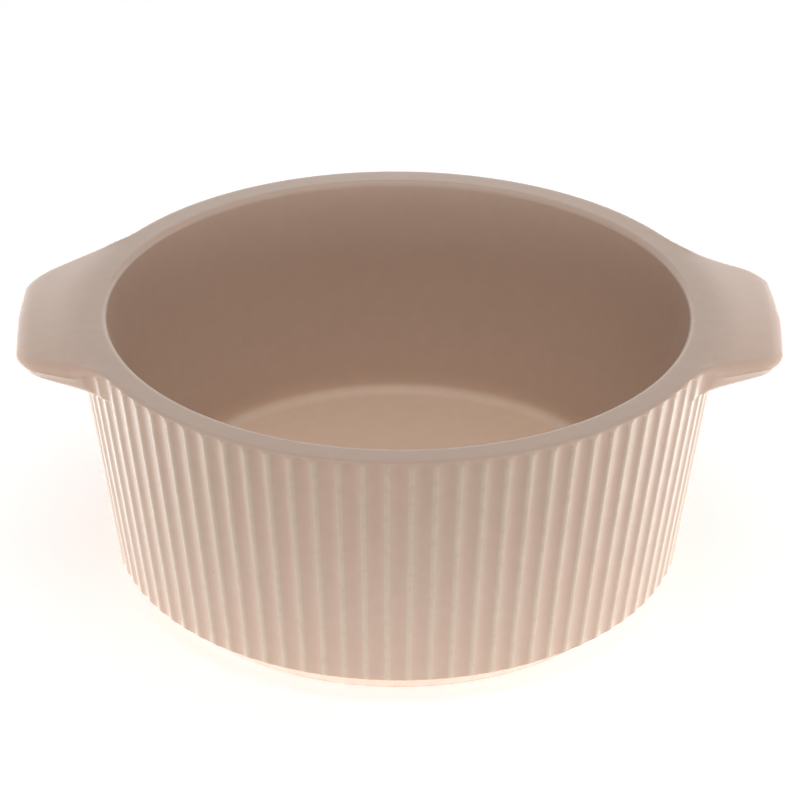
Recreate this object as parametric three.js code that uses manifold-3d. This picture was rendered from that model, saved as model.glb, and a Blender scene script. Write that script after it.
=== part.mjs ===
// Small round sauce dish in fluted stoneware, with two lug handles at the rim and a low foot ring.
// Millimetres, +Z up. The origin lies on the table under the middle of the foot; +X runs along the lugs.
// A potter joins it from six pieces of clay: foot ring, base pan, fluted wall, rim band and two lugs.

import * as THREE from 'three';
import { mergeVertices } from 'three/addons/utils/BufferGeometryUtils.js';
import Module from 'manifold-3d';

// Bowl
const overallHeight = 48.8;
const openingDiameter = 98.2;
const wallThickness = 5.5; // at the rim, measured level
const wallDraft = 7.3; // degrees that the outside leans out
const insideDraft = 9.45; // degrees that the inside leans out, so that the wall thickens towards the floor
const floorThickness = 5; // above the foot
const coveRadius = 2.5; // where the wall turns into the floor
const rimInnerRound = 1.1;
const rimOuterRound = 0.9;

// Flutes
const fluteCount = 90;
const fluteWidth = 2.75; // across one flute at the rim; the rest of the pitch is its ridge
const fluteDepth = 0.55;

// Bottom edge and foot
const bottomEdgeHeight = 5.4; // table to the lower edge of the fluted wall
const bottomEdgeRound = 0.8;
const footInset = 5.94; // how far the foot stands in from the bottom edge, on the table
const footHeight = 3.6;
const footWidth = 4;
const footFlare = 0.7; // how much wider the foot is where it joins the base
const footEdgeRound = 0.6;

// Lug handles
const lugProjection = 10.25; // rim to the middle of the tip
const lugTipWidth = 33; // between the corners of the tip, before they are rounded
const lugTipCrown = 0.9; // how far the middle of the tip stands out past its corners
const lugCornerRadius = 8;
const lugFlankAngle = 28; // degrees between a flank and the X axis
const lugRootRadius = 11; // hollow curve from the flank into the rim
const lugThickness = 4.3; // at the rim; the underside is level
const lugDroop = 2.3; // how far the top falls from the rim to the tip
const lugEdgeRound = 1;
const lugSeatDepth = 2.2; // how far the root sits into the rim band

// Seams
const jointGap = 0.3; // slip joint round a lug's root
const seamLand = 0.5; // material left between a feature and the seam next to it
const seatLedge = 0.3; // flat underside left outside the foot

// Fineness of the curves
const roundSteps = 2;
const coveSteps = 4;
const cutterSides = 10;
const planSteps = 4;
const jointSides = 90;

const weldDistance = 1e-4; // vertices closer than this are one
const glazeColour = 0xcbb2a2;
const footColour = 0xe2c6b2;
const glazeRoughness = 0.55;

const radians = THREE.MathUtils.degToRad;
const draftSlope = Math.tan(radians(wallDraft));
const insideSlope = Math.tan(radians(insideDraft));
const rimInnerRadius = openingDiameter / 2;
const rimOuterRadius = rimInnerRadius + wallThickness;
const floorTop = footHeight + floorThickness;
const baseSeam = floorTop + coveRadius + seamLand;
const rimSeam = overallHeight - lugThickness - jointGap - seamLand;
const footRadius = outsideRadius(bottomEdgeHeight) - footInset;
const footTopRadius = footRadius + footFlare;
const lugReach = rimOuterRadius + lugProjection;
const lugSeatRadius = rimOuterRadius - lugSeatDepth;

const wasm = await Module();
wasm.setup();

function insideRadius(z) {
  return rimInnerRadius - (overallHeight - z) * insideSlope;
}

function outsideRadius(z) {
  return rimOuterRadius - (overallHeight - z) * draftSlope;
}

function toSolid(geometry) {
  const bare = geometry.clone();
  bare.deleteAttribute('normal');
  bare.deleteAttribute('uv');
  const merged = mergeVertices(bare, weldDistance);
  const corners = [];
  for (let i = 0; i < merged.index.count; i += 3) {
    const [a, b, c] = [0, 1, 2].map((k) => merged.index.getX(i + k));
    if (a !== b && b !== c && c !== a) corners.push(a, b, c);
  }
  return new wasm.Manifold(new wasm.Mesh({
    numProp: 3,
    vertProperties: Float32Array.from(merged.attributes.position.array),
    triVerts: Uint32Array.from(corners),
  }));
}

function toGeometry(solid) {
  const { vertProperties, triVerts, numProp } = solid.getMesh();
  const geometry = new THREE.BufferGeometry();
  const positions = [];
  for (let i = 0; i < vertProperties.length; i += numProp) {
    positions.push(vertProperties[i], vertProperties[i + 1], vertProperties[i + 2]);
  }
  geometry.setAttribute('position', new THREE.Float32BufferAttribute(positions, 3));
  geometry.setIndex(Array.from(triVerts));
  geometry.computeVertexNormals();
  return geometry;
}

// A corner of a profile is [radius, height, rounding, steps]; a rounded one becomes a tangent arc.
function roundedProfile(corners) {
  const points = [];
  corners.forEach(([r, z, round = 0, steps = roundSteps], i) => {
    const here = new THREE.Vector2(r, z);
    if (round === 0) {
      points.push(here);
      return;
    }
    const before = new THREE.Vector2(...corners[i - 1].slice(0, 2)).sub(here).normalize();
    const after = new THREE.Vector2(...corners[i + 1].slice(0, 2)).sub(here).normalize();
    const half = Math.acos(before.dot(after)) / 2;
    const toCentre = before.clone().add(after).normalize();
    const centre = here.clone().addScaledVector(toCentre, round / Math.sin(half));
    const reach = round / Math.tan(half);
    const start = here.clone().addScaledVector(before, reach).sub(centre);
    const end = here.clone().addScaledVector(after, reach).sub(centre);
    const sweep = Math.atan2(start.cross(end), start.dot(end));
    for (let k = 0; k <= steps; k += 1) {
      points.push(start.clone().rotateAround(new THREE.Vector2(), (sweep * k) / steps).add(centre));
    }
  });
  return points;
}

function turned(corners) {
  return toSolid(new THREE.LatheGeometry(roundedProfile(corners), fluteCount).rotateX(Math.PI / 2));
}

// One cutter for all the flutes. Each is a slim cone that shares its apex with the wall, so that a
// flute and its ridge narrow together towards the base.
function fluteCutter() {
  const apexDrop = rimOuterRadius / draftSlope;
  const fluteRadius = (fluteWidth ** 2 / 4 + fluteDepth ** 2) / (2 * fluteDepth);
  const axisRadius = rimOuterRadius + fluteRadius - fluteDepth;
  const lean = Math.atan2(axisRadius, apexDrop);
  const slant = Math.hypot(axisRadius, apexDrop);
  const overrun = fluteWidth;
  const far = slant + overrun;
  const near = (slant * (apexDrop - overallHeight)) / apexDrop - overrun;
  const cone = new THREE.CylinderGeometry(
    (fluteRadius * far) / slant, (fluteRadius * near) / slant, far - near, cutterSides);
  cone.translate(0, (far + near) / 2, 0);
  cone.rotateX(Math.PI / 2);
  cone.rotateY(lean);
  cone.translate(0, 0, overallHeight - apexDrop);
  const pitch = (2 * Math.PI) / fluteCount;
  const cutters = [];
  for (let i = 0; i < fluteCount; i += 1) {
    cutters.push(toSolid(cone.clone().rotateZ((i + 0.5) * pitch)));
  }
  return cutters.reduce((all, cutter) => all.add(cutter));
}

// Half of a lug's outline seen from above, for the lug on +X: centres and angles of its arcs.
function lugPlan() {
  const halfTip = lugTipWidth / 2;
  const tipRadius = (halfTip ** 2 + lugTipCrown ** 2) / (2 * lugTipCrown);
  const tipCentre = new THREE.Vector2(lugReach - tipRadius, 0);
  const corner = new THREE.Vector2(lugReach - lugTipCrown, halfTip);
  const flank = radians(lugFlankAngle);
  const inward = new THREE.Vector2(-Math.cos(flank), Math.sin(flank));
  const outward = new THREE.Vector2(Math.sin(flank), Math.cos(flank));

  // The first point, going inward from start, that lies at a distance from a centre.
  const meeting = (start, centre, distance) => {
    const from = start.clone().sub(centre);
    const b = from.dot(inward);
    const travel = -b - Math.sqrt(b * b - from.lengthSq() + distance ** 2);
    return start.clone().addScaledVector(inward, travel);
  };
  const cornerLine = corner.clone().addScaledVector(outward, -lugCornerRadius);
  const cornerCentre = meeting(cornerLine, tipCentre, tipRadius - lugCornerRadius);
  const rootLine = corner.clone().addScaledVector(outward, lugRootRadius);
  const rootCentre = meeting(rootLine, new THREE.Vector2(), rimOuterRadius + lugRootRadius);
  return {
    tipRadius,
    tipCentre,
    cornerCentre,
    rootCentre,
    tipAngle: cornerCentre.clone().sub(tipCentre).angle(),
    flankAngle: outward.angle(),
    rootAngle: rootCentre.angle(),
  };
}

function lugOutline(plan) {
  const { tipRadius, tipCentre, cornerCentre, rootCentre, tipAngle, flankAngle, rootAngle } = plan;
  const inner = lugSeatRadius - lugSeatDepth;
  const [across, along] = [Math.sin(rootAngle), Math.cos(rootAngle)];
  const shape = new THREE.Shape();
  shape.moveTo(inner * along, -inner * across);
  shape.lineTo(rimOuterRadius * along, -rimOuterRadius * across);
  shape.absarc(
    rootCentre.x, -rootCentre.y, lugRootRadius, Math.PI - rootAngle, Math.PI - flankAngle, true);
  shape.absarc(cornerCentre.x, -cornerCentre.y, lugCornerRadius, -flankAngle, -tipAngle, false);
  shape.absarc(tipCentre.x, 0, tipRadius, -tipAngle, tipAngle, false);
  shape.absarc(cornerCentre.x, cornerCentre.y, lugCornerRadius, tipAngle, flankAngle, false);
  shape.absarc(
    rootCentre.x, rootCentre.y, lugRootRadius, flankAngle + Math.PI, rootAngle + Math.PI, true);
  shape.lineTo(inner * along, inner * across);
  shape.closePath();
  return shape;
}

function cylinder(radius, low, high) {
  const height = high - low;
  const geometry = new THREE.CylinderGeometry(radius, radius, height, jointSides);
  return toSolid(geometry.rotateX(Math.PI / 2).translate(0, 0, low + height / 2));
}

// The lug on +X: level underside, rounded edges, and a top that falls away from the rim.
function lugSolid(plan) {
  const underside = overallHeight - lugThickness;
  const blank = new THREE.ExtrudeGeometry(lugOutline(plan), {
    depth: lugThickness - 2 * lugEdgeRound,
    bevelThickness: lugEdgeRound,
    bevelSize: lugEdgeRound,
    bevelOffset: -lugEdgeRound,
    bevelSegments: roundSteps,
    curveSegments: planSteps,
  });
  const places = blank.attributes.position;
  for (let i = 0; i < places.count; i += 1) {
    const out = Math.hypot(places.getX(i), places.getY(i)) - lugSeatRadius;
    const fall = (lugDroop * Math.max(out, 0)) / (lugReach - lugSeatRadius);
    const share = (places.getZ(i) + lugEdgeRound) / lugThickness;
    places.setZ(i, underside + share * (lugThickness - fall));
  }
  return toSolid(blank).subtract(cylinder(lugSeatRadius, underside - seamLand, overallHeight + seamLand));
}

// The pocket that a lug's root needs in the rim band, turned to its place on the rim.
function lugPocket(plan, turn) {
  const side = plan.rootAngle + jointGap / lugSeatRadius;
  const outer = rimOuterRadius + seamLand;
  const shape = new THREE.Shape();
  shape.absarc(0, 0, outer, -side, side, false);
  shape.absarc(0, 0, lugSeatRadius - jointGap, side, -side, true);
  shape.closePath();
  const pocket = new THREE.ExtrudeGeometry(shape, {
    depth: lugThickness + jointGap + seamLand,
    bevelEnabled: false,
    curveSegments: jointSides / 4,
  });
  pocket.translate(0, 0, overallHeight - lugThickness - jointGap);
  return toSolid(pocket.rotateZ(turn));
}

function footRing() {
  const profile = [
    [footRadius - footWidth, footHeight],
    [footRadius - footWidth, 0, footEdgeRound],
    [footRadius, 0, footEdgeRound],
    [footTopRadius, footHeight],
    [footRadius - footWidth, footHeight],
  ];
  return turned(profile);
}

function basePan(flutes) {
  const profile = [
    [0, footHeight],
    [footTopRadius + seatLedge, footHeight],
    [outsideRadius(bottomEdgeHeight), bottomEdgeHeight, bottomEdgeRound],
    [outsideRadius(baseSeam), baseSeam],
    [insideRadius(baseSeam), baseSeam],
    [insideRadius(floorTop), floorTop, coveRadius, coveSteps],
    [0, floorTop],
  ];
  return turned(profile).subtract(flutes);
}

function flutedWall(flutes) {
  const profile = [
    [insideRadius(baseSeam), baseSeam],
    [outsideRadius(baseSeam), baseSeam],
    [outsideRadius(rimSeam), rimSeam],
    [insideRadius(rimSeam), rimSeam],
    [insideRadius(baseSeam), baseSeam],
  ];
  return turned(profile).subtract(flutes);
}

function rimBand(flutes, pockets) {
  const profile = [
    [insideRadius(rimSeam), rimSeam],
    [outsideRadius(rimSeam), rimSeam],
    [rimOuterRadius, overallHeight, rimOuterRound],
    [rimInnerRadius, overallHeight, rimInnerRound],
    [insideRadius(rimSeam), rimSeam],
  ];
  return pockets.reduce((band, pocket) => band.subtract(pocket), turned(profile).subtract(flutes));
}

function piece(name, solid, colour) {
  const material = new THREE.MeshStandardMaterial({
    color: colour,
    roughness: glazeRoughness,
    metalness: 0,
  });
  const mesh = new THREE.Mesh(toGeometry(solid), material);
  mesh.name = name;
  return mesh;
}

const flutes = fluteCutter();
const plan = lugPlan();
const lug = lugSolid(plan);
const leftLug = piece('left_lug_handle', lug, glazeColour);
leftLug.rotation.z = Math.PI;
const pockets = [0, Math.PI].map((turn) => lugPocket(plan, turn));

const dish = new THREE.Group();
dish.add(
  piece('foot_ring', footRing(), footColour),
  piece('base_pan', basePan(flutes), glazeColour),
  piece('fluted_wall', flutedWall(flutes), glazeColour),
  piece('rim_band', rimBand(flutes, pockets), glazeColour),
  piece('right_lug_handle', lug, glazeColour),
  leftLug,
);

export default dish;
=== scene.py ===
import math

import bmesh
import bpy
from mathutils import Matrix, Vector


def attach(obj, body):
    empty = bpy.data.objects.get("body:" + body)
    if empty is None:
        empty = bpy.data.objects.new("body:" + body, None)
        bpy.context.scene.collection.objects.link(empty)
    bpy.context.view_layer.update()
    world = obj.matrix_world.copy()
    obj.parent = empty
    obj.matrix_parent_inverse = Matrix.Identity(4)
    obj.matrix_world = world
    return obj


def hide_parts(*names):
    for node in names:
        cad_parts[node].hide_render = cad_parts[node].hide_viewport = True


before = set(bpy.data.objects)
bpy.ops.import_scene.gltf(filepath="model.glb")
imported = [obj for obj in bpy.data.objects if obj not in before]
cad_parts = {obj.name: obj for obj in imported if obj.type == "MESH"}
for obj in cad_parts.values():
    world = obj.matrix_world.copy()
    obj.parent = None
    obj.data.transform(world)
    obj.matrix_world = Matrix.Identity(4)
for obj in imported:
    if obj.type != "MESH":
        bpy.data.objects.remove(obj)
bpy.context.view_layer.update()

mm = 0.001
scene = bpy.context.scene
scene.view_settings.view_transform = "Standard"
print("frame loaded, nodes:", len(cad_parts))

# Camera, as the photograph was taken. Lengths in mm, angles in degrees.
cameraSet = {
    "lens": 130.5,        # on a 36 mm sensor
    "rimHeight": 48.8,
    "distance": 489.35,   # to the middle of the rim
    "elevation": 26.912,  # of the camera, seen from the middle of the rim
    "lookDown": 28.828,
    "lookRight": 0.041,
    "roll": 0.327,
    "walk": -0.3,         # round the dish
}


def placeCamera():
    rise = math.radians(cameraSet["elevation"])
    spot = Vector((0, -math.cos(rise), math.sin(rise))) * cameraSet["distance"]
    spot.z += cameraSet["rimHeight"]
    walk = Matrix.Rotation(math.radians(cameraSet["walk"]), 4, "Z")
    look = walk @ Matrix.Rotation(math.radians(90 - cameraSet["lookDown"]), 4, "X")
    look = look @ Matrix.Rotation(math.radians(-cameraSet["lookRight"]), 4, "Y")
    look = look @ Matrix.Rotation(math.radians(cameraSet["roll"]), 4, "Z")
    bpy.ops.object.camera_add(location=walk @ (spot * mm), rotation=look.to_euler())
    camera = bpy.context.object
    camera.name = "photoCamera"
    camera.data.lens = cameraSet["lens"]
    camera.data.sensor_width = 36
    camera.data.clip_start = 0.01
    camera.data.clip_end = 30
    scene.camera = camera


placeCamera()

# Light tent: a white table that glows a little round the dish, strips that stay below the rim,
# softboxes to the sides and a soft ceiling. Places and sizes in metres, power in watts.
tent = {
    "tableColour": (0.86, 0.86, 0.86, 1),
    "tableSize": 8,
    "tableLift": 0.46,             # what the camera sees on top of the table's own light
    "tableGleam": 2.4,             # what the glaze mirrors of the table's back part
    "gleamEdge": (-0.085, 0.035),  # where that begins and where it is full, front to back
    "tableGlow": 0.86,             # what the table throws up at the dish
    "glowEdge": (0.06, 0.11),      # where that begins to fade and where it ends
    "backdrop": 1.4,               # what the glaze mirrors of the tent's sides
    "roof": 0.9,                   # and of its roof
    "backdropEdge": (0.38, 0.53),  # how steep the way up is where sides turn into roof
    "aimHeight": 0.03,             # higher lamps point at this height, lower ones level
}
softBoxes = {
    "ceilingMiddle": {"place": (0.0, 0.05, 1.0), "size": (1.1, 1.1), "power": 5.4},
    "ceilingFront": {"place": (0.0, -0.6, 0.9), "size": (1.0, 0.8), "power": 3.3},
    "sideRight": {"place": (0.9, 0.1, 0.35), "size": (0.7, 0.6), "power": 1.2},
    "sideLeft": {"place": (-0.9, 0.1, 0.35), "size": (0.7, 0.6), "power": 0.5},
    "lowFront": {"place": (0.0, -1.0, 0.12), "size": (1.0, 0.14), "power": 1.85},
    "stripRight": {"place": (0.7, 0.0, 0.024), "size": (1.2, 0.044), "power": 4.0},
    "stripLeft": {"place": (-0.7, 0.0, 0.024), "size": (1.2, 0.044), "power": 3.35},
    "stripRightBack": {"place": (0.5, 0.5, 0.024), "size": (0.6, 0.044), "power": 1.6},
    "stripLeftBack": {"place": (-0.5, 0.5, 0.024), "size": (0.6, 0.044), "power": 1.0},
}


def connect(tree, socket, value):
    if isinstance(value, bpy.types.NodeSocket):
        tree.links.new(value, socket)
    else:
        socket.default_value = value


def compute(tree, operation, *values):
    node = tree.nodes.new("ShaderNodeMath")
    node.operation = operation
    for socket, value in zip(node.inputs, values):
        connect(tree, socket, value)
    return node.outputs[0]


def ramp(tree, value, start, end, low=0.0, high=1.0):
    # smooth step from low at start to high at end
    node = tree.nodes.new("ShaderNodeMapRange")
    node.interpolation_type = "SMOOTHSTEP"
    for label, setting in (
        ("Value", value), ("From Min", start), ("From Max", end), ("To Min", low), ("To Max", high)):
        connect(tree, node.inputs[label], setting)
    return node.outputs["Result"]


def seenDirectly(tree):
    # two masks: seen by the camera, in a gloss or through glass, and seen by the camera alone
    path = tree.nodes.new("ShaderNodeLightPath").outputs
    seen = compute(tree, "MAXIMUM", path["Is Camera Ray"], path["Is Glossy Ray"])
    return compute(tree, "MAXIMUM", seen, path["Is Transmission Ray"]), path["Is Camera Ray"]


def lightWorld():
    world = bpy.data.worlds.new("tentSky")
    scene.world = world
    world.use_nodes = True
    tree = world.node_tree
    back = tree.nodes["Background"]
    back.inputs["Color"].default_value = (1, 1, 1, 1)
    seen, byCamera = seenDirectly(tree)
    way = tree.nodes.new("ShaderNodeSeparateXYZ")
    tree.links.new(tree.nodes.new("ShaderNodeTexCoord").outputs["Generated"], way.inputs[0])
    level = ramp(tree, way.outputs["Z"], *tent["backdropEdge"], tent["backdrop"], tent["roof"])
    mirrored = compute(tree, "SUBTRACT", seen, byCamera)
    tree.links.new(compute(tree, "MULTIPLY_ADD", mirrored, level, byCamera), back.inputs["Strength"])


def makeTable():
    bpy.ops.object.select_all(action="DESELECT")
    bpy.ops.mesh.primitive_plane_add(size=tent["tableSize"], location=(0, 0, 0))
    table = bpy.context.object
    table.name = "tableTop"
    paint = bpy.data.materials.new("tableWhite")
    paint.use_nodes = True
    tree = paint.node_tree
    tree.nodes.remove(tree.nodes["Principled BSDF"])
    matt = tree.nodes.new("ShaderNodeBsdfDiffuse")
    matt.inputs["Color"].default_value = tent["tableColour"]
    spot = tree.nodes.new("ShaderNodeTexCoord")
    fromDish = tree.nodes.new("ShaderNodeVectorMath")
    fromDish.operation = "LENGTH"
    tree.links.new(spot.outputs["Object"], fromDish.inputs[0])
    glow = ramp(tree, fromDish.outputs["Value"], *tent["glowEdge"], tent["tableGlow"], 0.0)
    seen, byCamera = seenDirectly(tree)
    depth = tree.nodes.new("ShaderNodeSeparateXYZ")
    tree.links.new(spot.outputs["Object"], depth.inputs[0])
    gleam = ramp(tree, depth.outputs["Y"], *tent["gleamEdge"], 0.0, tent["tableGleam"])
    thrown = compute(tree, "MAXIMUM", glow, compute(tree, "MULTIPLY", seen, gleam))
    hidden = compute(tree, "SUBTRACT", 1.0, byCamera)
    lifted = compute(tree, "MULTIPLY", byCamera, tent["tableLift"])
    level = compute(tree, "MULTIPLY_ADD", thrown, hidden, lifted)
    lift = tree.nodes.new("ShaderNodeEmission")
    tree.links.new(level, lift.inputs["Strength"])
    both = tree.nodes.new("ShaderNodeAddShader")
    tree.links.new(matt.outputs[0], both.inputs[0])
    tree.links.new(lift.outputs[0], both.inputs[1])
    tree.links.new(both.outputs[0], tree.nodes["Material Output"].inputs["Surface"])
    table.data.materials.append(paint)


def hangSoftBoxes():
    for name, box in softBoxes.items():
        toDish = Vector((0, 0, min(tent["aimHeight"], box["place"][2]))) - Vector(box["place"])
        bpy.ops.object.light_add(
            type="AREA", location=box["place"], rotation=toDish.to_track_quat("-Z", "Y").to_euler())
        lamp = bpy.context.object
        lamp.name = name
        lamp.data.shape = "RECTANGLE"
        lamp.data.size, lamp.data.size_y = box["size"]
        lamp.data.energy = box["power"]
        lamp.visible_glossy = False  # the glaze mirrors the tent's cloth, not the lamps behind it


lightWorld()
makeTable()
hangSoftBoxes()
print("camera, table and light set")

# Bowl, in mm as in the CAD model
bowl = {
    "height": 48.8,
    "openingRadius": 49.1,
    "wall": 5.5,           # at the rim
    "draft": 7.3,          # of the outside, in degrees
    "insideDraft": 9.45,
    "floorTop": 8.6,
    "cove": 2.5,
    "innerRound": 1.1,
    "outerRound": 0.9,
    "underside": 3.6,
    "undersideRadius": 44.1,
    "bottomEdge": 5.4,
    "bottomRound": 0.8,
    "baseSeam": 11.6,
    "rimSeam": 43.7,
    "columnsPerFlute": 12,
    # rings of points between the section's corners: heights on the walls, radii on level faces
    "lowRing": 8.5,
    "wallRings": (15.5, 20.0, 24.5, 29.0, 34.0, 39.0),
    "seamRing": 44.0,
    "bandRing": 46.6,
    "rimTopRings": (52.95, 52.0, 51.0, 50.25),
    "insideRings": (38.0, 32.0, 26.0, 20.0, 15.5),
    "floorRings": (30, 15),
    "undersideRing": 22,
    "roundPast": 53.0,     # the rim's outer round lies past this radius
    "roundSteps": 6,
    "coveSteps": 10,
}
flute = {
    "count": 90,
    "depth": 0.55,
    # share of the depth, from the middle of a ridge to the middle of a flute
    "section": (0.0, 0.07, 0.43, 0.70, 0.87, 0.97, 1.0),
    "start": 0.5,          # below the wall's bottom edge
    "skin": 2.5,           # points this far out from the inner face belong to the outer one
}
# The lugs are cut and smoothed by hand, so no two corners are quite alike. Lengths in mm.
lug = {
    "thickness": 4.5,     # at the rim, with a level underside
    "droop": 0.22,        # fall of the top for each mm past the rim
    "fallEase": 3.0,      # the fall begins and ends its curve this far from the rim
    "topRound": 2.0,
    "lowerRound": 1.1,
    "swell": 0.5,         # of the tip's edge between its corners
    "cuts": 9,
    "cutAt": 50.9,        # where a lug parts from the rim
    "edgeTurns": (0, 22.5, 45, 67.5, 90),  # degrees round the lower edge, a ring of points at each
    "edgeSteps": 40,      # along the tip, and as many round its corner and its root
    "leastReach": 0.03,   # a lug ends where it stands out from the rim by less
    "roundEase": 3.0,     # how far it has to stand out for full round edges
    "droopEase": 4.0,     # for the full fall of its top
    "fluteFade": 2.0,     # and for no flutes at all
    "easeSteps": 6,
}
# Each half of a lug: reach from the axis, lean of the tip's edge, half its width, radius of its corner,
# slope of the flank and radius of the root.
lugCorners = (
    {"sides": (-1, 1), "reach": 64.6, "lean": -0.03, "half": 14.4,
     "corner": 8.8, "slope": 0.72, "root": 12.0},
    {"sides": (-1, -1), "reach": 64.6, "lean": 0.063, "half": 17.6,
     "corner": 10.4, "slope": 0.56, "root": 10.0},
    {"sides": (1, 1), "reach": 65.1, "lean": 0.0, "half": 17.2,
     "corner": 4.8, "slope": 0.21, "root": 20.0},
    {"sides": (1, -1), "reach": 65.1, "lean": 0.066, "half": 16.3,
     "corner": 8.6, "slope": 0.56, "root": 11.0},
)

draft = math.radians(bowl["draft"])
slope = math.tan(draft)
insideSlope = math.tan(math.radians(bowl["insideDraft"]))
rimOuter = bowl["openingRadius"] + bowl["wall"]
lugUnder = bowl["height"] - lug["thickness"]
# height of the rim's outer round, more than its radius because the wall leans out
roundRise = bowl["outerRound"] * math.cos(draft) / math.tan(math.radians(45 - bowl["draft"] / 2))
columnCount = flute["count"] * bowl["columnsPerFlute"]
weld = 1e-6                     # metres; points nearer than this become one
smoothAngle = math.radians(40)  # faces that meet at less are shaded as one


def wallOut(z):
    return rimOuter - (bowl["height"] - z) * slope


def wallIn(z):
    return bowl["openingRadius"] - (bowl["height"] - z) * insideSlope


def roundCorners(corners):
    points = []
    for i, corner in enumerate(corners):
        here = Vector(corner[:2])
        if len(corner) == 2:
            points.append(here)
            continue
        radius, steps = corner[2:]
        before = (Vector(corners[i - 1][:2]) - here).normalized()
        after = (Vector(corners[i + 1][:2]) - here).normalized()
        half = before.angle(after) / 2
        centre = here + (before + after).normalized() * (radius / math.sin(half))
        start = here + before * (radius / math.tan(half)) - centre
        end = here + after * (radius / math.tan(half)) - centre
        sweep = math.atan2(start.x * end.y - start.y * end.x, start.dot(end))
        for k in range(steps + 1):
            points.append(centre + Matrix.Rotation(sweep * k / steps, 2) @ start)
    return points


def traceProfile(name, points):
    # one vertex, pushed along the section step by step
    bpy.ops.object.select_all(action="DESELECT")
    bpy.ops.mesh.primitive_circle_add(vertices=3, radius=mm, location=(0, 0, 0))
    piece = bpy.context.object
    piece.name = name
    bpy.ops.object.mode_set(mode="EDIT")
    bpy.ops.mesh.select_mode(type="VERT")
    bpy.ops.mesh.select_all(action="SELECT")
    bpy.ops.mesh.merge(type="CENTER")
    here = points[0]
    bpy.ops.transform.translate(value=(here.x * mm, 0, here.y * mm))
    for there in points[1:]:
        step = there - here
        bpy.ops.mesh.extrude_region_move(TRANSFORM_OT_translate={"value": (step.x * mm, 0, step.y * mm)})
        here = there
    return piece


def radiusOf(vert):
    return math.hypot(vert.co.x, vert.co.y) / mm


def columnOf(vert):
    return round(math.atan2(abs(vert.co.y), vert.co.x) / (2 * math.pi) * columnCount)


def resizeGroups(groups, pivot):
    # one resize for each set of points that move alike
    for size, verts in groups.items():
        bpy.ops.mesh.select_all(action="DESELECT")
        for vert in verts:
            vert.select = True
        bpy.ops.transform.resize(value=size, center_override=pivot)


def turnQuarter():
    low, high = bowl["bottomEdge"], bowl["height"]
    outerRings = [bowl["lowRing"], bowl["baseSeam"], *bowl["wallRings"], bowl["rimSeam"], bowl["seamRing"]]
    for turn in lug["edgeTurns"]:
        outerRings.append(lugUnder + lug["lowerRound"] * (1 - math.cos(math.radians(turn))))
    outerRings.append(bowl["bandRing"])
    innerRings = (bowl["rimSeam"], *bowl["insideRings"], bowl["baseSeam"])
    undersideRings = (0, bowl["undersideRing"], bowl["undersideRadius"])
    corners = [(radius, bowl["underside"]) for radius in undersideRings]
    corners.append((wallOut(low), low, bowl["bottomRound"], bowl["roundSteps"]))
    corners += [(wallOut(z), z) for z in outerRings]
    corners.append((rimOuter, high, bowl["outerRound"], bowl["roundSteps"]))
    corners += [(radius, high) for radius in bowl["rimTopRings"]]
    corners.append((bowl["openingRadius"], high, bowl["innerRound"], bowl["roundSteps"]))
    corners += [(wallIn(z), z) for z in innerRings]
    corners.append((wallIn(bowl["floorTop"]), bowl["floorTop"], bowl["cove"], bowl["coveSteps"]))
    corners += [(radius, bowl["floorTop"]) for radius in (*bowl["floorRings"], 0)]
    quarter = traceProfile("dishQuarter", roundCorners(corners))
    bpy.ops.mesh.select_all(action="SELECT")
    # spin turns clockwise seen from above, so a negative angle goes from +X to +Y
    bpy.ops.mesh.spin(steps=columnCount // 4, angle=-math.pi / 2, center=(0, 0, 0), axis=(0, 0, 1))
    bpy.ops.mesh.select_all(action="SELECT")
    bpy.ops.mesh.remove_doubles(threshold=weld)
    return quarter


def lugReaches(half):
    # how far the lug's edge lies from the axis, for each column of points up to its root
    tipEnd = Vector((half["reach"] - half["lean"] * half["half"] - lug["swell"], half["half"]))
    along = Vector((-half["lean"] - 2 * lug["swell"] / half["half"], 1)).normalized()
    inward = Vector((-1, half["slope"])).normalized()
    outward = Vector((half["slope"], 1)).normalized()
    turn = along.angle(inward)
    cornerStart = tipEnd - along * (half["corner"] * math.tan(turn / 2))
    cornerCentre = cornerStart + Vector((-along.y, along.x)) * half["corner"]
    fromRoot = tipEnd + outward * half["root"]
    b = fromRoot.dot(inward)
    travel = -b - math.sqrt(b * b - fromRoot.length_squared + (rimOuter + half["root"]) ** 2)
    rootCentre = fromRoot + inward * travel
    edge, steps = [], lug["edgeSteps"]
    for i in range(steps + 1):
        y = cornerStart.y * i / steps
        edge.append(Vector((half["reach"] - half["lean"] * y - lug["swell"] * (y / half["half"]) ** 2, y)))
    for i in range(1, steps + 1):
        edge.append(cornerCentre + Matrix.Rotation(turn * i / steps, 2) @ (cornerStart - cornerCentre))
    rootStart = rootCentre - outward * half["root"]
    sweep = math.atan2(outward.y, outward.x) - math.atan2(rootCentre.y, rootCentre.x)
    for i in range(steps + 1):
        edge.append(rootCentre + Matrix.Rotation(-sweep * i / steps, 2) @ (rootStart - rootCentre))
    reaches, k = [], 0
    while True:
        column = len(reaches) * 2 * math.pi / columnCount
        while k < len(edge) - 1 and math.atan2(edge[k + 1].y, edge[k + 1].x) < column:
            k += 1
        if k >= len(edge) - 1:
            return reaches
        ray, a, step = Vector((math.cos(column), math.sin(column))), edge[k], edge[k + 1] - edge[k]
        reach = (a.x * step.y - a.y * step.x) / (ray.x * step.y - ray.y * step.x)
        if reach < rimOuter + lug["leastReach"]:
            return reaches
        reaches.append(reach)


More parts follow.
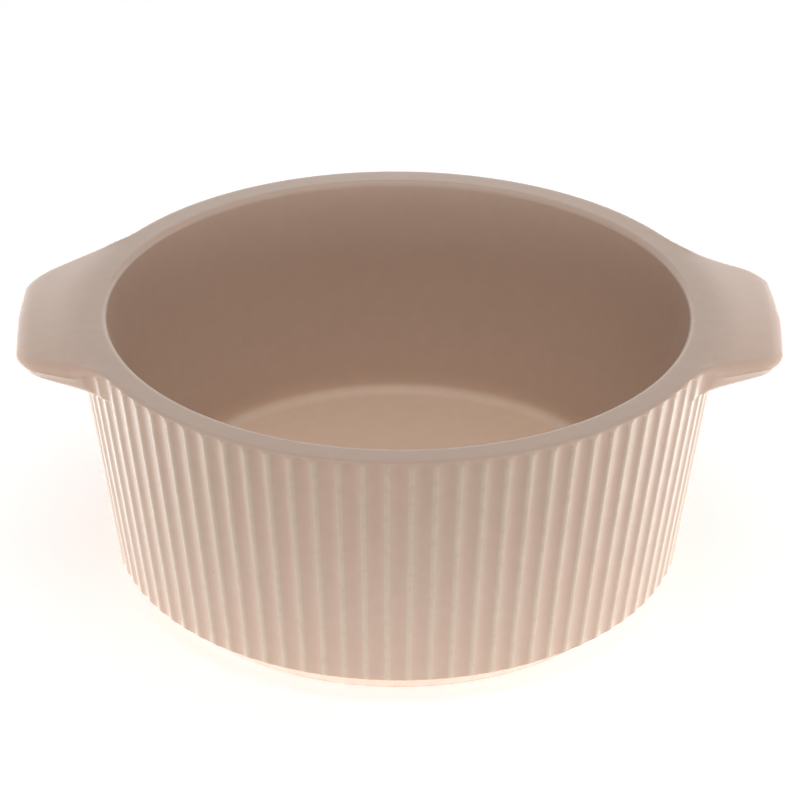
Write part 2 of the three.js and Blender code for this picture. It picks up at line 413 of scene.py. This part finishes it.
def pullLug(reaches):
    # the rim's outer band is drawn out, column by column, to the lug's edge
    root = len(reaches)
    data = bpy.context.object.data
    mesh = bmesh.from_edit_mesh(data)
    rimTop = (bowl["height"] - 1e-4) * mm
    topEdge = min(radiusOf(v) for v in mesh.verts if v.co.z > rimTop and radiusOf(v) > bowl["roundPast"])
    bpy.ops.mesh.select_mode(type="FACE")
    bpy.ops.mesh.select_all(action="DESELECT")
    for face in mesh.faces:
        face.select = all(
            v.co.z > (lugUnder - 1e-3) * mm and radiusOf(v) > topEdge - 1e-3 and columnOf(v) <= root
            for v in face.verts)
    bpy.ops.mesh.extrude_region_move(TRANSFORM_OT_translate={"value": (0, 0, 0)})
    bpy.ops.mesh.select_mode(type="VERT")
    mesh = bmesh.from_edit_mesh(data)
    drawn = [v for v in mesh.verts if v.select]
    drawnSet = set(drawn)
    spokes = [e for v in drawn for e in v.link_edges if e.other_vert(v) not in drawnSet]

    # round edges first, ring by ring, easing off towards the root
    groups = {}
    more = lug["topRound"] - roundRise
    for vert in drawn:
        column = columnOf(vert)
        if column >= root:
            continue
        ease = min((reaches[column] - rimOuter) / lug["roundEase"], 1)
        height, tuck, drop = vert.co.z / mm - lugUnder, 0, 0
        if height < lug["lowerRound"]:
            toGo = lug["lowerRound"] - height
            tuck = lug["lowerRound"] - math.sqrt(max(lug["lowerRound"] ** 2 - toGo ** 2, 0))
        elif height > lug["thickness"] - roundRise - 1e-3:
            lift = min(max((height - lug["thickness"]) / roundRise + 1, 0), 1)
            tuck = more * (1 - math.sqrt(1 - lift ** 2))
            drop = more * (1 - lift)
        if tuck or drop:
            ease = round(ease * lug["easeSteps"]) / lug["easeSteps"]
            size = (round(1 - tuck * ease / rimOuter, 6), round(1 - drop * ease / height, 6))
            groups.setdefault((size[0], size[0], size[1]), []).append(vert)
    resizeGroups(groups, (0, 0, lugUnder * mm))

    # then out to the edge
    groups = {}
    for vert in drawn:
        column = columnOf(vert)
        if column < root:
            grow = round(reaches[column] / rimOuter, 6)
            groups.setdefault((grow, grow, 1), []).append(vert)
    resizeGroups(groups, (0, 0, lugUnder * mm))

    bpy.ops.mesh.select_mode(type="EDGE")
    bpy.ops.mesh.select_all(action="DESELECT")
    for edge in spokes:
        edge.select = edge.calc_length() > 1e-5
    bpy.ops.mesh.subdivide(number_cuts=lug["cuts"])
    bpy.ops.mesh.select_mode(type="FACE")
    bpy.ops.mesh.select_all(action="DESELECT")
    mesh = bmesh.from_edit_mesh(data)
    for face in mesh.faces:
        face.select = all(abs(v.co.y) < 1e-7 for v in face.verts)
    bpy.ops.mesh.delete(type="FACE")
    bpy.ops.mesh.select_mode(type="VERT")
    bpy.ops.mesh.select_all(action="SELECT")
    bpy.ops.mesh.remove_doubles(threshold=weld)

    # the top falls towards the tip in one smooth curve that starts on the rim; the underside stays level
    mesh = bmesh.from_edit_mesh(data)
    for vert in mesh.verts:
        column, height = columnOf(vert), vert.co.z / mm - lugUnder
        past = radiusOf(vert) - rimOuter + lug["fallEase"]
        if column >= root or past <= 0 or height < 0.01:
            continue
        share = min((reaches[column] - rimOuter) / lug["droopEase"], 1)
        fall = past - lug["fallEase"] if past > 2 * lug["fallEase"] else past ** 2 / (4 * lug["fallEase"])
        vert.co.z -= lug["droop"] * fall * share * share * (3 - 2 * share) * height / lug["thickness"] * mm
    bmesh.update_edit_mesh(data)


def pressFlutes(reaches):
    # the outer wall's columns are drawn in to the flutes' depth, where a round edge isn't that deep already
    perFlute = bowl["columnsPerFlute"]
    mesh = bmesh.from_edit_mesh(bpy.context.object.data)
    groups = {}
    for vert in mesh.verts:
        z, radius = vert.co.z / mm, radiusOf(vert)
        if z < bowl["bottomEdge"] - flute["start"] or radius < wallIn(z) + flute["skin"]:
            continue
        column = columnOf(vert)
        phase = column % perFlute
        depth = flute["depth"] * flute["section"][min(phase, perFlute - phase)]
        edge = wallOut(z)
        if z > lugUnder - 0.01 and column < len(reaches):
            depth *= max(0, 1 - (reaches[column] - rimOuter) / lug["fluteFade"])
            edge *= reaches[column] / rimOuter
        pull = edge * (1 - depth / rimOuter) / radius
        if depth > 1e-6 and pull < 1 - 1e-6:
            groups.setdefault((round(pull, 6), round(pull, 6), 1), []).append(vert)
    resizeGroups(groups, (0, 0, 0))


def makeQuarter(half):
    quarter = turnQuarter()
    reaches = lugReaches(half)
    pullLug(reaches)
    pressFlutes(reaches)
    bpy.ops.mesh.select_all(action="SELECT")
    bpy.ops.transform.resize(value=(half["sides"][0], half["sides"][1], 1), center_override=(0, 0, 0))
    bpy.ops.object.mode_set(mode="OBJECT")
    return quarter


def closeMesh():
    # out of edit mode, with the points welded and the faces turned outwards
    bpy.ops.mesh.select_all(action="SELECT")
    bpy.ops.mesh.remove_doubles(threshold=weld)
    bpy.ops.mesh.normals_make_consistent(inside=False)
    bpy.ops.object.mode_set(mode="OBJECT")


def joinQuarters(quarters):
    bpy.ops.object.select_all(action="DESELECT")
    for quarter in quarters:
        quarter.select_set(True)
    bpy.context.view_layer.objects.active = quarters[0]
    bpy.ops.object.join()
    bpy.ops.object.mode_set(mode="EDIT")
    closeMesh()
    return bpy.context.object


body = joinQuarters([makeQuarter(half) for half in lugCorners])
print("bowl turned, lugs drawn out, flutes pressed:", len(body.data.vertices), "points")


def partFrom(body, name, cuts):
    # a copy of the body, cut at planes and closed there; each plane's normal points at what is kept
    bpy.ops.object.select_all(action="DESELECT")
    body.select_set(True)
    bpy.context.view_layer.objects.active = body
    bpy.ops.object.duplicate()
    piece = bpy.context.object
    piece.name = piece.data.name = name
    bpy.ops.object.mode_set(mode="EDIT")
    for place, normal in cuts:
        bpy.ops.mesh.select_all(action="SELECT")
        bpy.ops.mesh.bisect(
            plane_co=place, plane_no=normal, use_fill=True, clear_inner=True, threshold=1e-7)
    closeMesh()
    bpy.ops.object.shade_smooth_by_angle(angle=smoothAngle)
    return piece


up, down = (0, 0, 1), (0, 0, -1)
baseCut, rimCut = (0, 0, bowl["baseSeam"] * mm), (0, 0, bowl["rimSeam"] * mm)
rightCut, leftCut = (lug["cutAt"] * mm, 0, 0), (-lug["cutAt"] * mm, 0, 0)
basePan = partFrom(body, "basePan", [(baseCut, down)])
flutedWall = partFrom(body, "flutedWall", [(baseCut, up), (rimCut, down)])
rimBand = partFrom(body, "rimBand", [(rimCut, up), (rightCut, (-1, 0, 0)), (leftCut, (1, 0, 0))])
rightLug = partFrom(body, "rightLugHandle", [(rimCut, up), (rightCut, (1, 0, 0))])
leftLug = partFrom(body, "leftLugHandle", [(rimCut, up), (leftCut, (-1, 0, 0))])
bpy.ops.object.select_all(action="DESELECT")
body.select_set(True)
bpy.ops.object.delete()

# Foot ring, in mm
foot = {
    "radius": 43.1,
    "flare": 0.7,
    "width": 4.0,
    "height": 3.6,
    "edgeRound": 0.6,
    "edgeSteps": 5,
    "turnSteps": 180,
}


def turnFoot():
    inner = foot["radius"] - foot["width"]
    corners = [
        (inner, foot["height"]),
        (inner, 0, foot["edgeRound"], foot["edgeSteps"]),
        (foot["radius"], 0, foot["edgeRound"], foot["edgeSteps"]),
        (foot["radius"] + foot["flare"], foot["height"]),
        (inner, foot["height"]),
    ]
    ring = traceProfile("footRing", roundCorners(corners))
    bpy.ops.mesh.select_all(action="SELECT")
    bpy.ops.mesh.spin(steps=foot["turnSteps"], angle=2 * math.pi, center=(0, 0, 0), axis=(0, 0, 1))
    closeMesh()
    bpy.ops.object.shade_smooth_by_angle(angle=smoothAngle)
    return ring


footRing = turnFoot()
print("six pieces parted")


def startGroup(name, values, results):
    # a node group with its named inputs (name, default) and outputs
    tree = bpy.data.node_groups.new(name, "ShaderNodeTree")
    number = "NodeSocketFloat"
    for label, value in values:
        socket = tree.interface.new_socket(name=label, in_out="INPUT", socket_type=number)
        socket.default_value = value
    for label in results:
        tree.interface.new_socket(name=label, in_out="OUTPUT", socket_type=number)
    return tree, tree.nodes.new("NodeGroupInput").outputs, tree.nodes.new("NodeGroupOutput").inputs


def clayNoise(tree, place, size, detail):
    # noise whose blotches are about size mm across
    node = tree.nodes.new("ShaderNodeTexNoise")
    node.inputs["Scale"].default_value = 1 / (size * mm)
    node.inputs["Detail"].default_value = detail
    tree.links.new(place, node.inputs["Vector"])
    return node.outputs["Fac"]


def objectPlace(tree):
    return tree.nodes.new("ShaderNodeTexCoord").outputs["Object"]


# Where the glaze runs thin on the ridges, and where the inside is painted lighter as painted light, in mm;
# depth is counted inwards from the ridges
glazeFlowAndInsideLight = {
    "wallStart": (-0.3, -0.1),   # depth
    "wallEnd": (1.6, 0.9),
    "belowTop": (0.1, 0.5),      # of the rim
    "ridgeTop": 0.02,
    "breakLevel": (0.52, 0.36),  # of the noise that breaks up a ridge's thin line
    "insideStart": (4.2, 5.8),
    "aboveUnderside": 2,
}


def buildGlazeRunAndInsideLight():
    # where the glaze has run off the ridges, broken up along their length, and where the inside and its
    # floor are painted lighter, as painted light
    tree, given, result = startGroup(
        "glazeRunAndInsideLight", (("Width", 0.26), ("Break Size", 1.6), ("Break", 0.5)), ("Ridge", "Inside", "FloorLight"))
    place = objectPlace(tree)
    parts = tree.nodes.new("ShaderNodeSeparateXYZ")
    tree.links.new(place, parts.inputs[0])
    level = tree.nodes.new("ShaderNodeVectorMath")
    level.operation = "MULTIPLY"
    level.inputs[1].default_value = (1 / mm, 1 / mm, 0)
    tree.links.new(place, level.inputs[0])
    radius = tree.nodes.new("ShaderNodeVectorMath")
    radius.operation = "LENGTH"
    tree.links.new(level.outputs["Vector"], radius.inputs[0])
    height = compute(tree, "MULTIPLY", parts.outputs["Z"], 1 / mm)
    outside = compute(tree, "MULTIPLY_ADD", height, slope, rimOuter - bowl["height"] * slope)
    depth = compute(tree, "SUBTRACT", outside, radius.outputs["Value"])
    started, ended = ramp(tree, depth, *glazeFlowAndInsideLight["wallStart"]), ramp(tree, depth, *glazeFlowAndInsideLight["wallEnd"])
    onWall = compute(tree, "MULTIPLY", started, ended)
    upper, lower = (bowl["height"] - below for below in glazeFlowAndInsideLight["belowTop"])
    onWall = compute(tree, "MULTIPLY", onWall, ramp(tree, height, upper, lower))
    near = ramp(tree, depth, given["Width"], glazeFlowAndInsideLight["ridgeTop"])
    noise = tree.nodes.new("ShaderNodeTexNoise")
    noise.inputs["Detail"].default_value = 2
    tree.links.new(compute(tree, "DIVIDE", 1 / mm, given["Break Size"]), noise.inputs["Scale"])
    tree.links.new(place, noise.inputs["Vector"])
    broken = ramp(tree, noise.outputs["Fac"], *glazeFlowAndInsideLight["breakLevel"])
    gap = compute(tree, "MULTIPLY", broken, given["Break"])
    kept = compute(tree, "SUBTRACT", 1.0, gap)
    ridge = compute(tree, "MULTIPLY", compute(tree, "MULTIPLY", near, onWall), kept)
    tree.links.new(ridge, result["Ridge"])
    above = ramp(tree, height, bowl["underside"], bowl["underside"] + glazeFlowAndInsideLight["aboveUnderside"])
    # painted light: marks the inside, which is painted lighter
    inside = compute(tree, "MULTIPLY", ramp(tree, depth, *glazeFlowAndInsideLight["insideStart"]), above)
    tree.links.new(inside, result["Inside"])
    # painted light: marks the floor of the bowl, painted lighter still as a pool of light
    low = ramp(tree, height, bowl["floorTop"] + 2 * bowl["cove"], bowl["floorTop"])
    tree.links.new(compute(tree, "MULTIPLY", inside, low), result["FloorLight"])
    return tree


def buildIronSpecks():
    # a few pin-head specks burnt out of the clay, dark at the core and of unlike strength
    core, faintest = 0.4, 0.3
    tree, given, result = startGroup(
        "ironSpecks", (("Spacing", 5.0), ("Size", 0.16), ("Share", 0.2)), ("Speck",))
    cells = tree.nodes.new("ShaderNodeTexVoronoi")
    tree.links.new(objectPlace(tree), cells.inputs["Vector"])
    tree.links.new(compute(tree, "DIVIDE", 1 / mm, given["Spacing"]), cells.inputs["Scale"])
    reach = compute(tree, "DIVIDE", given["Size"], given["Spacing"])
    dot = ramp(tree, cells.outputs["Distance"], reach, compute(tree, "MULTIPLY", reach, core))
    pick = tree.nodes.new("ShaderNodeSeparateColor")
    tree.links.new(cells.outputs["Color"], pick.inputs[0])
    chosen = compute(tree, "LESS_THAN", pick.outputs["Red"], given["Share"])
    weight = compute(tree, "MULTIPLY_ADD", pick.outputs["Green"], 1 - faintest, faintest)
    speck = compute(tree, "MULTIPLY", compute(tree, "MULTIPLY", dot, chosen), weight)
    tree.links.new(speck, result["Speck"])
    return tree


def buildGlazeDrift():
    # slow cloudiness of the colour, and the fine grain of a satin surface, each with its size and detail
    noises = {"Cloud": (22.0, 2.0), "Mottle": (2.6, 3.0), "Grain": (0.45, 2.0)}
    tree, _, result = startGroup("glazeDrift", (), noises)
    place = objectPlace(tree)
    for label, (size, detail) in noises.items():
        tree.links.new(clayNoise(tree, place, size, detail), result[label])
    return tree


glazeRunAndInsideLight = buildGlazeRunAndInsideLight()
ironSpecks = buildIronSpecks()
glazeDrift = buildGlazeDrift()


def useGroup(tree, group, values):
    node = tree.nodes.new("ShaderNodeGroup")
    node.node_tree = group
    for label, value in values.items():
        node.inputs[label].default_value = value
    return node.outputs


def blend(tree, share, under, over, mode="MIX"):
    node = tree.nodes.new("ShaderNodeMix")
    node.data_type = "RGBA"
    node.blend_type = mode
    for socket, value in ((node.inputs[0], share), (node.inputs[6], under), (node.inputs[7], over)):
        connect(tree, socket, value)
    return node.outputs[2]


noiseSpan = (0.3, 0.7)  # where most of a noise's values lie
bumpStrength = 0.5


def startPaint(name):
    paint = bpy.data.materials.new(name)
    paint.use_nodes = True
    return paint, paint.node_tree, paint.node_tree.nodes["Principled BSDF"]


def addColour(tree, shader, colour, shade, speck):
    # mottle and specks over a coat's own colour
    colour = blend(tree, 1.0, colour, shade, "MULTIPLY")
    colour = blend(tree, speck, colour, glaze["speck"])
    tree.links.new(colour, shader.inputs["Base Color"])


def addBump(tree, shader, height, distance):
    bump = tree.nodes.new("ShaderNodeBump")
    bump.inputs["Strength"].default_value = bumpStrength
    bump.inputs["Distance"].default_value = distance * mm
    tree.links.new(height, bump.inputs["Height"])
    tree.links.new(bump.outputs["Normal"], shader.inputs["Normal"])


# Satin glaze over the whole dish
glaze = {
    "flute": (0.502, 0.352, 0.271, 1),   # pinker where it pools
    "ridge": (0.518, 0.408, 0.312, 1),   # paler and greener where it is thin
    "cloudy": (0.497, 0.355, 0.274, 1),
    "inside": (0.575, 0.420, 0.332, 1),  # painted light: the glaze painted lighter inside the bowl
    # painted light: a pool of light painted on the floor of the bowl
    "floorLight": (0.675, 0.496, 0.370, 1),
    "speck": (0.22, 0.13, 0.085, 1),
    "run": {"Width": 0.26, "Break Size": 1.6, "Break": 0.5},     # mm, and a share
    "specks": {"Spacing": 5.0, "Size": 0.16, "Share": 0.2},
    "cloudSpan": (0.42, 0.66),
    "mottle": (0.985, 1.015),
    "roughness": (0.46, 0.56),
    "bump": 0.015,                       # mm
    "bumpMottle": 0.3,                   # share of the mottle beside the grain
    "specular": 0.12,
    "coat": 1.0,
    "coatRoughness": 0.25,
}


def mixGlaze():
    paint, tree, shader = startPaint("satinGlaze")
    run = useGroup(tree, glazeRunAndInsideLight, glaze["run"])
    drift = useGroup(tree, glazeDrift, {})
    specks = useGroup(tree, ironSpecks, glaze["specks"])
    cloud = ramp(tree, drift["Cloud"], *glaze["cloudSpan"])
    colour = blend(tree, cloud, glaze["flute"], glaze["cloudy"])
    colour = blend(tree, run["Ridge"], colour, glaze["ridge"])
    # painted light: the inside painted lighter, then its floor lighter still
    colour = blend(tree, run["Inside"], colour, glaze["inside"])
    colour = blend(tree, run["FloorLight"], colour, glaze["floorLight"])
    shade = ramp(tree, drift["Mottle"], *noiseSpan, *glaze["mottle"])
    addColour(tree, shader, colour, shade, specks["Speck"])
    rough = ramp(tree, drift["Grain"], *noiseSpan, *glaze["roughness"])
    tree.links.new(rough, shader.inputs["Roughness"])
    skin = compute(tree, "MULTIPLY_ADD", drift["Mottle"], glaze["bumpMottle"], drift["Grain"])
    addBump(tree, shader, skin, glaze["bump"])
    shader.inputs["Specular IOR Level"].default_value = glaze["specular"]
    shader.inputs["Coat Weight"].default_value = glaze["coat"]
    shader.inputs["Coat Roughness"].default_value = glaze["coatRoughness"]
    return paint


# Foot: a coat painted much lighter than the glaze, as painted light from the table below, wiped off where
# it stands in the kiln
footCoat = {
    # painted light: the foot's colour lightened for the light the table throws up at it
    "litFoot": (0.86, 0.645, 0.54, 1),
    "bare": (0.60, 0.44, 0.35, 1),
    "wiped": 0.45,                       # mm above the table
    "wipedEdge": 0.3,                    # mm
    "wander": 0.4,                       # of that edge, mm
    "specks": {"Spacing": 5.0, "Size": 0.16, "Share": 0.2},
    "mottle": (0.95, 1.04),
    "roughness": (0.5, 0.85),            # glazed and bare
    "bump": 0.02,                        # mm
    "coat": 0.5,
}


def mixFootCoat():
    paint, tree, shader = startPaint("footCoat")
    drift = useGroup(tree, glazeDrift, {})
    specks = useGroup(tree, ironSpecks, footCoat["specks"])
    parts = tree.nodes.new("ShaderNodeSeparateXYZ")
    tree.links.new(objectPlace(tree), parts.inputs[0])
    height = compute(tree, "MULTIPLY", parts.outputs["Z"], 1 / mm)
    height = compute(tree, "MULTIPLY_ADD", drift["Mottle"], footCoat["wander"], height)
    bare = ramp(tree, height, footCoat["wiped"] + footCoat["wipedEdge"], footCoat["wiped"])
    # painted light lightens the foot above its wiped edge
    colour = blend(tree, bare, footCoat["litFoot"], footCoat["bare"])
    shade = ramp(tree, drift["Mottle"], *noiseSpan, *footCoat["mottle"])
    addColour(tree, shader, colour, shade, specks["Speck"])
    rough = ramp(tree, bare, 0.0, 1.0, *footCoat["roughness"])
    tree.links.new(rough, shader.inputs["Roughness"])
    addBump(tree, shader, drift["Grain"], footCoat["bump"])
    shader.inputs["Coat Weight"].default_value = footCoat["coat"]
    shader.inputs["Coat Roughness"].default_value = glaze["coatRoughness"]
    return paint


satinGlaze = mixGlaze()
footGlaze = mixFootCoat()
print("glazes mixed")

for piece, node, slot, finish in (
    (footRing, "foot_ring", "foot_glaze", footGlaze),
    (basePan, "base_pan", "satin_glaze", satinGlaze),
    (flutedWall, "fluted_wall", "satin_glaze", satinGlaze),
    (rimBand, "rim_band", "satin_glaze", satinGlaze),
    (rightLug, "right_lug_handle", "satin_glaze", satinGlaze),
    (leftLug, "left_lug_handle", "satin_glaze", satinGlaze),
):
    piece.data.materials.clear()
    piece.data.materials.append(finish)
    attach(piece, "root")
    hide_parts(node)
    print(piece.name, len(piece.data.vertices), "points")
